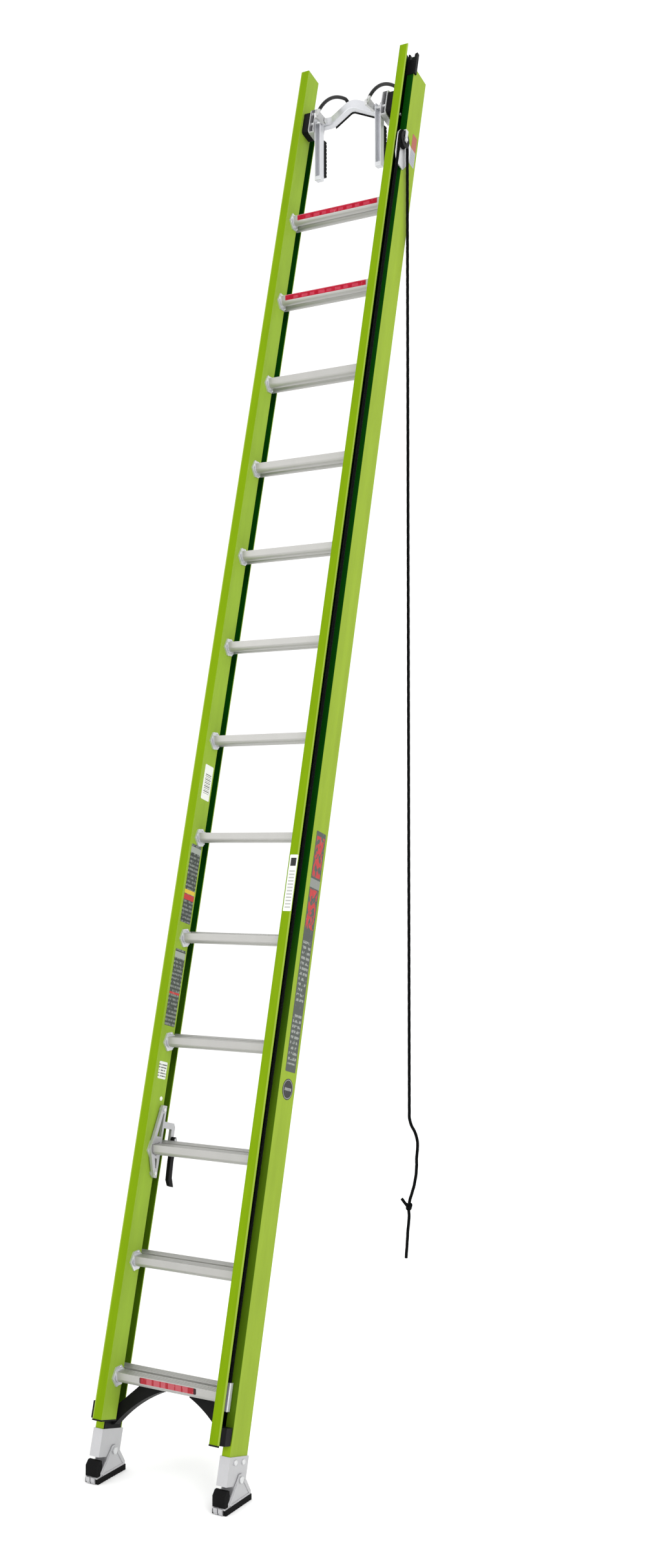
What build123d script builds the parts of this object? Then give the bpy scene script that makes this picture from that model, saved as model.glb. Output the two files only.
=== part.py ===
from build123d import *
import os
from math import cos, radians, sin, tan

os.makedirs("parts", exist_ok=True)

# ---------------------------------------------------------------------------
# A two-section extension ladder, closed, leaning at its working angle.
#
# The ladder is drawn in its own rail frame and then leaned as one:
#   X  across the ladder, to the climber's right
#   Y  through the ladder, away from the climber (0 = front of the fly rails)
#   Z  up along the rails (0 = top edge of the foot brackets)
# The row frame has +Z up, the floor at Z = 0 and its origin midway between
# the two foot pads.  All lengths are in millimetres.
# ---------------------------------------------------------------------------

LEAN = 15.0                    # rails from vertical, in degrees
RUNG_PITCH = 304.8
RUNG_COUNT = 13                # level rungs in each section
SECTION_LENGTH = 4343.0        # both sections' rails

# fly section: channels that open outwards, in front
FLY_START = 27.0
FLY_HALF_WEB = 173.0           # inner face of the web, from the centre line
FLY_HALF_EDGE = 203.0          # outer edge of the flanges
FLY_DEPTH = 69.0
FLY_FIRST_RUNG = 140.0
FLY_RUNG_Y = 46.0

# base section: channels that open inwards, behind, hooked into the fly's
BASE_START = -40.0
BASE_HALF_WEB = 217.0          # outer face of the web
BASE_HALF_EDGE = 192.0         # inner edge of the flanges
BASE_FRONT = 40.0
BASE_BACK = 129.0
BASE_FIRST_RUNG = 152.0
BASE_RUNG_Y = 91.0

WEB = 4.0
FLANGE = 4.5
RAIL_EDGE_RADIUS = 1.2

# rungs: flat-topped D tubes whose tread is level when the ladder leans
RUNG_WIDTH = 32.0
RUNG_HEIGHT = 30.0
RUNG_WALL = 2.6
RUNG_SIDE_LOW = -3.0           # where the straight sides meet the round bottom
TREAD_RIBS = 6
TREAD_GROOVE = 2.4
TREAD_GROOVE_DEPTH = 1.2
COLLAR_DEPTH = 9.0             # how far a rung's collar stands off its web
COLLAR_WALL = 2.0
PLATE_THICKNESS = 2.5

# feet
PIVOT_Y = 101.0
PIVOT_Z = -57.0
PIVOT_HEIGHT = 66.0            # shoe pivot above the floor
PIVOT_BACK = 14.0              # shoe pivot behind the middle of its pad
BRACKET_WALL = 3.0
BRACKET_LOW = -72.0
BOLT_RADIUS = 5.0
PAD_LENGTH = 128.0
PAD_THICKNESS = 14.0
SHOE_PLATE = 3.0
SHOE_OUTER = 221.0             # inner face of the shoe's outer cheek
SHOE_INNER = 188.0             # inner face of the shoe's inner cheek

# rung locks, on the third rung of the fly
LOCK_RUNG = 2
LOCK_FACE = 161.0
LOCK_CLAW_Y = 118.0
LOCK_CLAW_Z = 33.0             # claw pivot above its rung

# pulley and rope
ROPE_RADIUS = 5.0
SHEAVE_X = 227.5
SHEAVE_Y = 15.0
SHEAVE_Z = 3997.0
SHEAVE_GROOVE = 20.0           # radius at the bottom of the groove
SHEAVE_HALF = 6.5
ROPE_LOOP = 25.4               # radius of the rope's centre line round it
SHEAVE_RADIUS = 28.0
ROPE_END_HEIGHT = 413.0        # rope's cut end above the floor
ROPE_JOINT_GAP = 0.1
ANCHOR_X = 194.0
ANCHOR_Y = 28.0
ANCHOR_TOP = 180.0

# top hardware
HANGER_Y = 20.0                # pin of the cable hooks and hanging arms
HANGER_Z = 4158.0
PIN_RADIUS = 5.0
HOOK_X = 95.0
HOOK_RADIUS = 6.0
ARM_X = 114.0
ARM_WIDTH = 22.0
ARM_LENGTH = 200.0
V_END_X = 85.0                 # where the V-rung starts to bend
V_END_Y = 61.0
V_END_Z = 4165.0               # lower edge of its ends
V_APEX_Y = 32.0
V_RISE = 26.0
V_HEIGHT = 34.0
V_DEPTH = 22.0
HANGER_PLATE_X = 143.0

# fasteners and fits
LOCK_BOLT_RADIUS = 3.0
FOOT_BOLT_RADIUS = 4.0
PIVOT_CLEARANCE = 0.08
SLIDE_GAP = 0.5


# ---- frames ---------------------------------------------------------------

def lean_shift():
    """Where the rail frame's origin goes in the row frame."""
    lean = radians(LEAN)
    pivot_y = PIVOT_Z * sin(lean) + PIVOT_Y * cos(lean)
    pivot_z = PIVOT_Z * cos(lean) - PIVOT_Y * sin(lean)
    return PIVOT_BACK - pivot_y, PIVOT_HEIGHT - pivot_z


SHIFT_Y, SHIFT_Z = lean_shift()


def leaned(part):
    """Rail frame to row frame."""
    return Pos(0, SHIFT_Y, SHIFT_Z) * Rot(-LEAN, 0, 0) * part


def upright(part, y, z):
    """Stand a part that is drawn level at a point of the rail frame."""
    return Pos(0, y, z) * Rot(LEAN, 0, 0) * part


def mirrored(part):
    return mirror(part, about=Plane.YZ)


def row_point(y, z):
    """A rail-frame point's Y and Z in the row frame."""
    lean = radians(LEAN)
    return (SHIFT_Y + z * sin(lean) + y * cos(lean),
            SHIFT_Z + z * cos(lean) - y * sin(lean))


# ---- small helpers --------------------------------------------------------

def block(x0, x1, y0, y1, z0, z1):
    size = Box(x1 - x0, y1 - y0, z1 - z0)
    return Pos((x0 + x1) / 2, (y0 + y1) / 2, (z0 + z1) / 2) * size


def rod_x(x0, x1, y, z, radius):
    """A round bar along X."""
    bar = Cylinder(radius, x1 - x0, rotation=(0, 90, 0))
    return Pos((x0 + x1) / 2, y, z) * bar


def side_plate(points, x0, x1, radius=0.0):
    """An outline of (y, z) points, extruded along X from x0 to x1."""
    face = make_face(Polyline(*points, close=True))
    if radius:
        face = fillet(face.vertices(), radius)
    return extrude(Plane.YZ.offset(x0) * face, x1 - x0)


def front_plate(points, y0, y1):
    """An outline of (x, z) points, extruded along Y from y0 to y1."""
    face = make_face(Polyline(*points, close=True))
    return extrude(Plane.XZ.offset(-y0) * face, -(y1 - y0))


def hex_bar(x0, x1, y, z, across):
    """A hexagonal head or nut along X, by its width across flats."""
    outline = RegularPolygon(across / 2, 6, major_radius=False)
    return Pos(0, y, z) * extrude(Plane.YZ.offset(x0) * outline, x1 - x0)


def bolt_x(x0, x1, y, z, radius, head=4.0):
    """A bolt along X with a domed head at x1 and a nut at x0."""
    shank = rod_x(x0, x1, y, z, radius)
    cap = rod_x(x1, x1 + head, y, z, 1.8 * radius)
    cap = fillet(cap.edges().filter_by(GeomType.CIRCLE).sort_by(Axis.X)[-1], head * 0.6)
    return shank + cap + hex_bar(x0 - head, x0, y, z, 3.4 * radius)


def write(name, part):
    export_step(leaned(part), f"parts/{name}.step")


def write_pair(name, right):
    """The right-hand part and its mirror image, as two nodes."""
    write(f"{name}_right", right)
    write(f"{name}_left", mirrored(right))


def write_both(name, right):
    """The right-hand part and its mirror image, as one node."""
    write(name, Compound([right, mirrored(right)]))


# ---- rails ----------------------------------------------------------------

def channel(web_x, edge_x, web_x2, y0, y1, z0, z1):
    """A C-channel: its web lies from web_x to web_x2, its flanges reach edge_x."""
    outline = [
        (edge_x, y0), (web_x, y0), (web_x, y1), (edge_x, y1),
        (edge_x, y1 - FLANGE), (web_x2, y1 - FLANGE),
        (web_x2, y0 + FLANGE), (edge_x, y0 + FLANGE),
    ]
    face = make_face(Polyline(*outline, close=True))
    face = fillet(face.vertices(), RAIL_EDGE_RADIUS)
    return extrude(Pos(0, 0, z0) * face, z1 - z0)


def fly_rail():
    rail = channel(FLY_HALF_WEB, FLY_HALF_EDGE, FLY_HALF_WEB + WEB,
                   0, FLY_DEPTH, FLY_START, FLY_START + SECTION_LENGTH)
    for y, z in lock_bolt_places() + hanger_bolt_places():
        rail -= rod_x(FLY_HALF_WEB - 1, FLY_HALF_WEB + WEB + 1, y, z, LOCK_BOLT_RADIUS)
    return rail


def base_rail():
    rail = channel(BASE_HALF_WEB, BASE_HALF_EDGE, BASE_HALF_WEB - WEB,
                   BASE_FRONT, BASE_BACK, BASE_START, BASE_START + SECTION_LENGTH)
    for y, z in foot_bolt_places():
        rail -= rod_x(BASE_HALF_WEB - WEB - 1, BASE_HALF_WEB + 1, y, z, FOOT_BOLT_RADIUS)
    return rail


# ---- rungs ----------------------------------------------------------------

def rung_outline(grow=0.0):
    """The D outline on the YZ plane: straight top and sides, round bottom."""
    half = RUNG_WIDTH / 2 + grow
    top = RUNG_HEIGHT / 2 + grow
    low = Line((-half, RUNG_SIDE_LOW), (-half, top))
    upper = Line((-half, top), (half, top))
    side = Line((half, top), (half, RUNG_SIDE_LOW))
    belly = ThreePointArc((half, RUNG_SIDE_LOW), (0, -top), (-half, RUNG_SIDE_LOW))
    return make_face([low, upper, side, belly])


def rung(half_length):
    """A hollow rung with a grooved tread, level, centred on its own axis."""
    length = 2 * half_length
    plane = Plane.YZ.offset(-half_length)
    tube = extrude(plane * rung_outline(), length)
    pitch = RUNG_WIDTH / TREAD_RIBS
    for index in range(1, TREAD_RIBS):
        y = index * pitch - RUNG_WIDTH / 2
        tube -= Pos(0, y, RUNG_HEIGHT / 2) * Box(length + 2, TREAD_GROOVE, 2 * TREAD_GROOVE_DEPTH)
    tube -= extrude(plane * rung_outline(-RUNG_WALL), length)
    return tube


def rung_heights(first):
    return [first + index * RUNG_PITCH for index in range(RUNG_COUNT)]


def rung_collar():
    """A pointed plate riveted to the fly's web, with a collar that the rung sits in."""
    face = FLY_HALF_WEB - PLATE_THICKNESS
    outline = [(-29, 0), (-13, 26), (14, 26), (22, 16), (22, -16), (14, -26), (-13, -26)]
    plate = side_plate(outline, face, FLY_HALF_WEB, radius=2.0)
    chevron = [(-29, 0), (-13, 26), (-7, 26), (-23, 0), (-7, -26), (-13, -26)]
    plate += side_plate(chevron, face - 2.5, face + 0.5, radius=0.8)
    for y, z in ((9, 21.5), (17, -18)):
        head = Pos(face, y, z) * Sphere(3)
        plate += head & block(face - 4, face + 1, y - 4, y + 4, z - 4, z + 4)
    plane = Plane.YZ.offset(FLY_HALF_WEB - COLLAR_DEPTH)
    boss = extrude(plane * rung_outline(COLLAR_WALL), COLLAR_DEPTH)
    bore = extrude(plane * rung_outline(0.02), COLLAR_DEPTH)
    return plate + boss - bore


def fly_collars():
    one = upright(rung_collar(), FLY_RUNG_Y, 0)
    return Compound([Pos(0, 0, z) * one for z in rung_heights(FLY_FIRST_RUNG)])


def base_collar():
    """A small square plate and collar on the base rail's web."""
    x0 = BASE_HALF_WEB - WEB - PLATE_THICKNESS
    x1 = BASE_HALF_WEB - WEB
    plate = side_plate([(-19.5, -26), (-19.5, 26), (26, 26), (26, -26)], x0, x1, radius=3.0)
    boss = extrude(Plane.YZ.offset(x1 - COLLAR_DEPTH) * rung_outline(COLLAR_WALL), COLLAR_DEPTH)
    boss = Rot(LEAN, 0, 0) * boss & block(x1 - COLLAR_DEPTH - 1, x1 + 1, -19.5, 40, -40, 40)
    bore = extrude(Plane.YZ.offset(x1 - COLLAR_DEPTH - 1) * rung_outline(0.02), COLLAR_DEPTH + 2)
    return plate + boss - Rot(LEAN, 0, 0) * bore


# ---- places of the bolts --------------------------------------------------

def lock_bolt_places():
    z = FLY_FIRST_RUNG + LOCK_RUNG * RUNG_PITCH
    return [(57.5, z + 112), (57.5, z - 66)]


def hanger_bolt_places():
    return [(20, HANGER_Z + 40), (54, HANGER_Z - 20)]


def foot_bolt_places():
    return [(66, -14), (106, -14)]


# ---- feet -----------------------------------------------------------------

def foot_bracket():
    """An aluminium box round the rail's end, with a tube for the pivot bolt."""
    outer = block(SHOE_INNER + 1, BASE_HALF_WEB + BRACKET_WALL,
                  BASE_FRONT - BRACKET_WALL, BASE_BACK + BRACKET_WALL, BRACKET_LOW, 0)
    inner = block(BASE_HALF_EDGE - 0.2, BASE_HALF_WEB, BASE_FRONT, BASE_BACK, BRACKET_LOW - 1, 1)
    bracket = outer - inner
    bracket += rod_x(SHOE_INNER + 1, BASE_HALF_WEB, PIVOT_Y, PIVOT_Z, BOLT_RADIUS + 4)
    bracket -= rod_x(SHOE_INNER, BASE_HALF_WEB + 4, PIVOT_Y, PIVOT_Z, BOLT_RADIUS)
    for y, z in foot_bolt_places():
        bracket -= rod_x(BASE_HALF_WEB - 1, BASE_HALF_WEB + 4, y, z, FOOT_BOLT_RADIUS)
    return bracket


def foot_bolts():
    """Two bolts that hold the bracket on, and the long one that the shoe turns on."""
    x0 = BASE_HALF_WEB - WEB
    x1 = BASE_HALF_WEB + BRACKET_WALL
    bolts = [bolt_x(x0, x1, y, z, FOOT_BOLT_RADIUS) for y, z in foot_bolt_places()]
    pivot = bolt_x(SHOE_INNER - SHOE_PLATE - 0.5, SHOE_OUTER + SHOE_PLATE + 0.5,
                   PIVOT_Y, PIVOT_Z, BOLT_RADIUS)
    return Compound(bolts + [pivot])


def foot_shoe():
    """Two triangular cheeks on a sole plate, with two spurs at the toe.

    Drawn level, about the pivot: Y away from the climber, Z up.
    """
    toe = -PIVOT_BACK - PAD_LENGTH / 2
    heel = -PIVOT_BACK + PAD_LENGTH / 2
    sole_z = PAD_THICKNESS - PIVOT_HEIGHT
    cheek = [(toe + 16, sole_z), (heel - 2, sole_z), (heel - 2, sole_z + 9),
             (17, 6), (6, 15), (-8, 15), (-17, 4), (toe + 16, sole_z + 12)]
    x0 = SHOE_INNER - SHOE_PLATE
    x1 = SHOE_OUTER + SHOE_PLATE
    shoe = side_plate(cheek, x0, SHOE_INNER, radius=1.5)
    shoe += side_plate(cheek, SHOE_OUTER, x1, radius=1.5)
    for rib in ([(-58, -45), (-52, -48), (-15, -9), (-20, -3)], [(45, -46), (39, -49), (12, -9), (16, -3)],
                [(-52, -50), (39, -50), (39, -46), (-52, -46)]):
        shoe += side_plate(rib, x1 - 0.5, x1 + 1.5)
        shoe += side_plate(rib, x0 - 1.5, x0 + 0.5)
    shoe += block(x0, x1, toe, heel - 2, sole_z, sole_z + 4)
    for x in (x0 + 6, x1 - 18):
        spur = [(toe - 5, sole_z + 4), (toe + 1, sole_z + 4), (toe + 1, -PIVOT_HEIGHT + 1),
                (toe - 1, -PIVOT_HEIGHT + 1), (toe - 5, -PIVOT_HEIGHT + 8)]
        shoe += side_plate(spur, x, x + 12)
    return shoe - rod_x(x0 - 1, x1 + 1, 0, 0, BOLT_RADIUS + PIVOT_CLEARANCE)


def foot_pad():
    """The rubber sole, with grooves across it."""
    toe = -PIVOT_BACK - PAD_LENGTH / 2 + 2
    heel = -PIVOT_BACK + PAD_LENGTH / 2
    low = -PIVOT_HEIGHT
    pad = block(SHOE_INNER - 6, SHOE_OUTER + 6, toe, heel, low, low + PAD_THICKNESS)
    pad = fillet(pad.edges().filter_by(Axis.Z), 4)
    groove_y = toe + 12
    while groove_y < heel - 8:
        pad -= block(SHOE_INNER - 10, SHOE_OUTER + 10, groove_y, groove_y + 3.5, low - 1, low + 3)
        groove_y += 11
    return pad


def foot_bumper():
    """The black rubber block at the toe: full width in front, then between the cheeks."""
    toe = -PIVOT_BACK - PAD_LENGTH / 2
    low = PAD_THICKNESS - PIVOT_HEIGHT + 4
    nose = [(toe + 1, low), (toe + 15, low), (toe + 15, -40), (toe + 22, -32),
            (toe + 22, -8), (toe + 12, -8), (toe + 1, -20)]
    front = side_plate(nose, SHOE_INNER - 3, SHOE_OUTER + 3, radius=2)
    return front + block(SHOE_INNER, SHOE_OUTER, toe + 10, toe + 28, low, -21)


# ---- braces and guides ----------------------------------------------------

def arch_brace():
    """A curved black strap from a block in the base rail up to the lowest base rung."""
    rail_x = BASE_HALF_WEB - WEB
    top = BASE_FIRST_RUNG - RUNG_HEIGHT / 2 - 0.2
    outline = [
        ThreePointArc((45, top - 19), (112, 80), (182, 12)),
        Line((182, 12), (rail_x, 4)),
        Line((rail_x, 4), (rail_x, 34)),
        Line((rail_x, 34), (103, top)),
        Line((103, top), (45, top)),
        Line((45, top), (45, top - 19)),
    ]
    strap = extrude(Plane.XZ.offset(-(BASE_RUNG_Y - 13)) * make_face(outline), -26)
    seat = block(BASE_HALF_EDGE - 1, BASE_HALF_EDGE + 15, BASE_FRONT + 6, BASE_BACK - 6, 0.3, 22)
    return strap + fillet(seat.edges().filter_by(Axis.X), 2)


def top_guide():
    """A forked guide on the top of the base rail's front flange."""
    top = BASE_START + SECTION_LENGTH
    outline = [(191, top - 26), (223, top - 26), (223, top + 54), (214, top + 50),
               (213, top + 30), (199, top + 30), (198, top + 50), (191, top + 54)]
    guide = front_plate(outline, BASE_FRONT - 4, BASE_FRONT + FLANGE + 5)
    return guide - base_rail()


def bottom_guide():
    """The slide block in the bottom of the fly rail's channel."""
    back = BASE_FRONT - SLIDE_GAP
    outer = BASE_HALF_WEB - 2
    outline = [(FLY_HALF_WEB + WEB, FLANGE), (FLY_HALF_EDGE - 1, FLANGE), (outer, FLANGE + 5),
               (outer, back), (FLY_HALF_WEB + WEB, back)]
    face = make_face(Polyline(*outline, close=True))
    return extrude(Pos(0, 0, FLY_START) * fillet(face.vertices(), 1.5), 44)


def fly_end_cap():
    """A thin dark cap that seals the fly rail's cut end."""
    return channel(FLY_HALF_WEB - 0.5, FLY_HALF_EDGE + 0.5, FLY_HALF_WEB + WEB,
                   -1, FLY_DEPTH + 1, FLY_START - 4, FLY_START)


# ---- rung locks -----------------------------------------------------------

def lock_frame():
    """A triangular cast frame round the lock rung, with a seat over the base rung.

    Drawn about the rung's height: (Y, height above the fly's rung).
    """
    x1 = FLY_HALF_WEB - PLATE_THICKNESS - 1
    outline = [(20, 0), (50, 124), (70, 124), (70, 80), (118, 80), (126, 70), (126, 24),
               (109.5, 24), (109.5, 62), (70, 62), (70, -78), (56, -78)]
    frame = side_plate(outline, LOCK_FACE, x1, radius=1.5)
    frame -= side_plate([(42, 36), (57, 102), (62, 102), (62, 36)], LOCK_FACE - 1, x1 + 1)
    frame -= side_plate([(47, -25), (58, -25), (61, -52), (57, -52)], LOCK_FACE - 1, x1 + 1)
    hole = extrude(Plane.YZ.offset(LOCK_FACE - 1) * rung_outline(COLLAR_WALL + 0.3), 14)
    frame -= Pos(0, FLY_RUNG_Y, 0) * Rot(LEAN, 0, 0) * hole
    frame -= upright(rung_collar(), FLY_RUNG_Y, 0)
    for y, z in lock_bolt_places():
        z -= FLY_FIRST_RUNG + LOCK_RUNG * RUNG_PITCH
        frame += rod_x(x1 - 1, FLY_HALF_WEB, y, z, 8)
        frame -= rod_x(LOCK_FACE - 1, FLY_HALF_WEB + 1, y, z, LOCK_BOLT_RADIUS)
    frame += rod_x(148, LOCK_FACE + 1, LOCK_CLAW_Y, LOCK_CLAW_Z, 3)
    frame += rod_x(146, 149, LOCK_CLAW_Y, LOCK_CLAW_Z, 6)
    return Pos(0, 0, FLY_FIRST_RUNG + LOCK_RUNG * RUNG_PITCH) * frame


def lock_bolts():
    bolts = [bolt_x(LOCK_FACE, FLY_HALF_WEB + WEB, y, z, LOCK_BOLT_RADIUS)
             for y, z in lock_bolt_places()]
    return Compound(bolts)


def lock_claw():
    """The black tongue that hangs behind the base rung."""
    outline = [(-8, 4), (-4, 9), (4, 9), (9, 3), (8, -60), (12, -104), (26, -130),
               (8, -128), (-4, -112), (-8, -60)]
    claw = side_plate(outline, 149.5, LOCK_FACE - 0.5, radius=1.5)
    claw -= rod_x(149, LOCK_FACE, 0, 0, 3 + PIVOT_CLEARANCE)
    height = FLY_FIRST_RUNG + LOCK_RUNG * RUNG_PITCH + LOCK_CLAW_Z
    return Pos(0, LOCK_CLAW_Y, height) * claw


# ---- pulley and rope ------------------------------------------------------

def pulley_bracket():
    """A plate on the base rail with a keeper over the sheave."""
    x0 = BASE_HALF_WEB
    outer = SHEAVE_X + SHEAVE_HALF + 0.5
    z = SHEAVE_Z
    plate = side_plate([(-12, z - 60), (-12, z + 14), (0, z + 32), (44, z + 36), (80, z + 20),
                        (80, z - 40), (46, z - 90), (2, z - 90)], x0, x0 + 3, radius=3)
    plate += block(x0, outer + 2.5, SHEAVE_Y - 7, SHEAVE_Y + 7, z + 31, z + 34)
    plate += block(outer, outer + 2.5, SHEAVE_Y - 7, SHEAVE_Y + 7, z - 9, z + 33)
    return plate - rod_x(x0 - 1, outer + 3, SHEAVE_Y, z, 4)


def pulley_axle():
    return bolt_x(BASE_HALF_WEB, SHEAVE_X + SHEAVE_HALF + 3, SHEAVE_Y, SHEAVE_Z, 4, head=3.5)


def pulley_sheave():
    """A grooved wheel on the axle, open between its hub and rim."""
    wheel = rod_x(SHEAVE_X - SHEAVE_HALF, SHEAVE_X + SHEAVE_HALF, SHEAVE_Y, SHEAVE_Z,
                  SHEAVE_RADIUS)
    loop = Rot(0, 90, 0) * Torus(ROPE_LOOP, ROPE_LOOP - SHEAVE_GROOVE)
    wheel -= Pos(SHEAVE_X, SHEAVE_Y, SHEAVE_Z) * loop
    lip = rod_x(-ROPE_LOOP + SHEAVE_GROOVE, ROPE_LOOP - SHEAVE_GROOVE, 0, 0, SHEAVE_RADIUS + 1)
    lip -= rod_x(-SHEAVE_HALF, SHEAVE_HALF, 0, 0, ROPE_LOOP)
    wheel -= Pos(SHEAVE_X, SHEAVE_Y, SHEAVE_Z) * lip
    for turn in range(5):
        angle = radians(72 * turn)
        wheel -= rod_x(SHEAVE_X - 10, SHEAVE_X + 10, SHEAVE_Y + 12.5 * cos(angle),
                       SHEAVE_Z + 12.5 * sin(angle), 3.4)
    return wheel - rod_x(SHEAVE_X - 10, SHEAVE_X + 10, SHEAVE_Y, SHEAVE_Z, 4 + PIVOT_CLEARANCE)


def rope_anchor():
    """The bright clamp on the fly rail that holds the haul rope's end."""
    low = ANCHOR_TOP - 71
    clamp = block(ANCHOR_X - 8, ANCHOR_X + 8, ANCHOR_Y - 8, ANCHOR_Y + 8, low, ANCHOR_TOP)
    clamp = fillet(clamp.edges().filter_by(Axis.Z), 3)
    clamp += block(FLY_HALF_WEB + WEB, ANCHOR_X - 7, ANCHOR_Y - 3, ANCHOR_Y + 3,
                   low + 8, ANCHOR_TOP - 8)
    return clamp


def haul_rope():
    """The tight run from the clamp up to the front of the sheave."""
    start = Vector(ANCHOR_X, ANCHOR_Y, ANCHOR_TOP + ROPE_JOINT_GAP)
    end = Vector(SHEAVE_X, SHEAVE_Y - ROPE_LOOP, SHEAVE_Z - ROPE_JOINT_GAP)
    run = end - start
    bar = Cylinder(ROPE_RADIUS, run.length, align=(Align.CENTER, Align.CENTER, Align.MIN))
    return Plane(origin=start, z_dir=run).location * bar


# The rope's free run hangs plumb in the row frame.  Each entry is how far a
# bend lies to the right, away from the climber and above the cut end.
ROPE_BENDS = [
    (0, 0, 429), (22, 4, 393), (26, 9, 357), (22, 6, 320), (27, -3, 283), (22, -7, 240),
    (11, -4, 208), (0, 1, 184), (-5, 4, 154), (-2, 2, 126), (-5, -2, 92), (-9, 1, 47),
    (-14, 3, 0),
]
ROPE_KNOT = (-4, 3, 163)


def rope_line():
    y, z = row_point(SHEAVE_Y, SHEAVE_Z)
    return SHEAVE_X, y + ROPE_LOOP, z


def hanging_rope():
    """From the haul run's top, round the sheave, and down to the cut end."""
    x, y, top = rope_line()
    angle = radians(180 - LEAN)
    axle_y = y - ROPE_LOOP
    start = (x, axle_y + ROPE_LOOP * cos(angle), top + ROPE_LOOP * sin(angle))
    crest = (x, axle_y, top + ROPE_LOOP)
    over = ThreePointArc(start, crest, (x, y, top))
    points = [Vector(x, y, top)]
    points += [Vector(x + dx, y + dy, ROPE_END_HEIGHT + up) for dx, dy, up in ROPE_BENDS]
    radii = []
    for before, here, after in zip(points, points[1:], points[2:]):
        turn = (here - before).get_angle(after - here)
        shorter = min((here - before).length, (after - here).length)
        radii.append(0.45 * shorter / tan(radians(turn) / 2))
    print("rope bend radii", [round(radius) for radius in radii])
    fall = FilletPolyline(*points, radius=radii)
    path = Wire([over] + fall.edges())
    rope = sweep(Plane(origin=path @ 0, z_dir=path % 0) * Circle(ROPE_RADIUS), path=path)
    print("rope length", round(path.length), "volume / section x length",
          round(rope.volume / (path.length * 3.14159265 * ROPE_RADIUS ** 2), 4))
    return rope


def rope_knot():
    """An overhand knot with its short tail."""
    x, y, _ = rope_line()
    dx, dy, up = ROPE_KNOT
    knot = Pos(x + dx, y + dy, ROPE_END_HEIGHT + up) * Sphere(13)
    tail = Rot(0, -62, 0) * Cylinder(ROPE_RADIUS, 26,
                                     align=(Align.CENTER, Align.CENTER, Align.MIN))
    return knot + Pos(x + dx - 6, y + dy, ROPE_END_HEIGHT + up) * tail


# ---- top hardware ---------------------------------------------------------

def v_path():
    """The V-rung's centre line, from one bracket to the other."""
    low = V_END_Z + V_HEIGHT / 2
    right = [(V_END_X, V_END_Y, low), (HANGER_PLATE_X, V_END_Y, low)]
    left = [(-x, y, z) for x, y, z in reversed(right)]
    points = left + [(0, V_APEX_Y, low + V_RISE)] + right
    return FilletPolyline(*points, radius=[40, 45, 40])


def swept_bar(face):
    """Sweep an outline of (back, up) points along the V."""
    path = v_path()
    ahead = path % 0
    plane = Plane(origin=path @ 0, x_dir=Vector(0, 0, 1).cross(ahead), z_dir=ahead)
    return sweep(plane * face, path=path)


def v_rung():
    outer = swept_bar(RectangleRounded(V_DEPTH, V_HEIGHT, 3))
    inner = swept_bar(RectangleRounded(V_DEPTH - 5, V_HEIGHT - 5, 1.5))
    return outer - inner


def v_rung_pad():
    """The black rubber that lines the back of the V and shows a little below it."""
    section = Pos(V_DEPTH / 2 + 1.6, -1.6) * Rectangle(3, V_HEIGHT + 3)
    reach = V_END_X - 8
    middle = block(-reach, reach, 0, 2 * V_END_Y, V_END_Z - 20, V_END_Z + 2 * V_HEIGHT)
    return swept_bar(section) & middle


def hanger_bracket():
    """A boxed bracket that holds the V-rung's end and the hanger pin."""
    box = block(126, HANGER_PLATE_X + 3, 8, 78, HANGER_Z - 38, HANGER_Z + 54)
    box = fillet(box.edges().filter_by(Axis.X), 12)
    core = block(129, HANGER_PLATE_X, 7, 79, HANGER_Z - 35, HANGER_Z + 51)
    bracket = box - core
    half = V_DEPTH / 2 + 0.05
    bracket -= block(125, 130, V_END_Y - half, V_END_Y + half,
                     V_END_Z - 0.05, V_END_Z + V_HEIGHT + 0.05)
    bracket -= rod_x(125, 130, HANGER_Y, HANGER_Z, PIN_RADIUS)
    for y, z in hanger_bolt_places():
        bracket -= rod_x(HANGER_PLATE_X - 1, HANGER_PLATE_X + 4, y, z, LOCK_BOLT_RADIUS)
    return bracket


def hanger_spacer():
    """The black block between the bracket and the fly rail."""
    spacer = block(HANGER_PLATE_X + 3, FLY_HALF_WEB, 12, 66, HANGER_Z - 32, HANGER_Z + 48)
    spacer = fillet(spacer.edges().filter_by(Axis.X), 8)
    for y, z in hanger_bolt_places():
        spacer -= rod_x(HANGER_PLATE_X, FLY_HALF_WEB + 1, y, z, LOCK_BOLT_RADIUS)
    return spacer


def hanger_fasteners():
    bolts = [bolt_x(HANGER_PLATE_X, FLY_HALF_WEB + WEB, y, z, LOCK_BOLT_RADIUS)
             for y, z in hanger_bolt_places()]
    pin = rod_x(88, HANGER_PLATE_X, HANGER_Y, HANGER_Z, PIN_RADIUS)
    pin += rod_x(85, 88.5, HANGER_Y, HANGER_Z, 9)
    return Compound(bolts + [pin])


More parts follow.
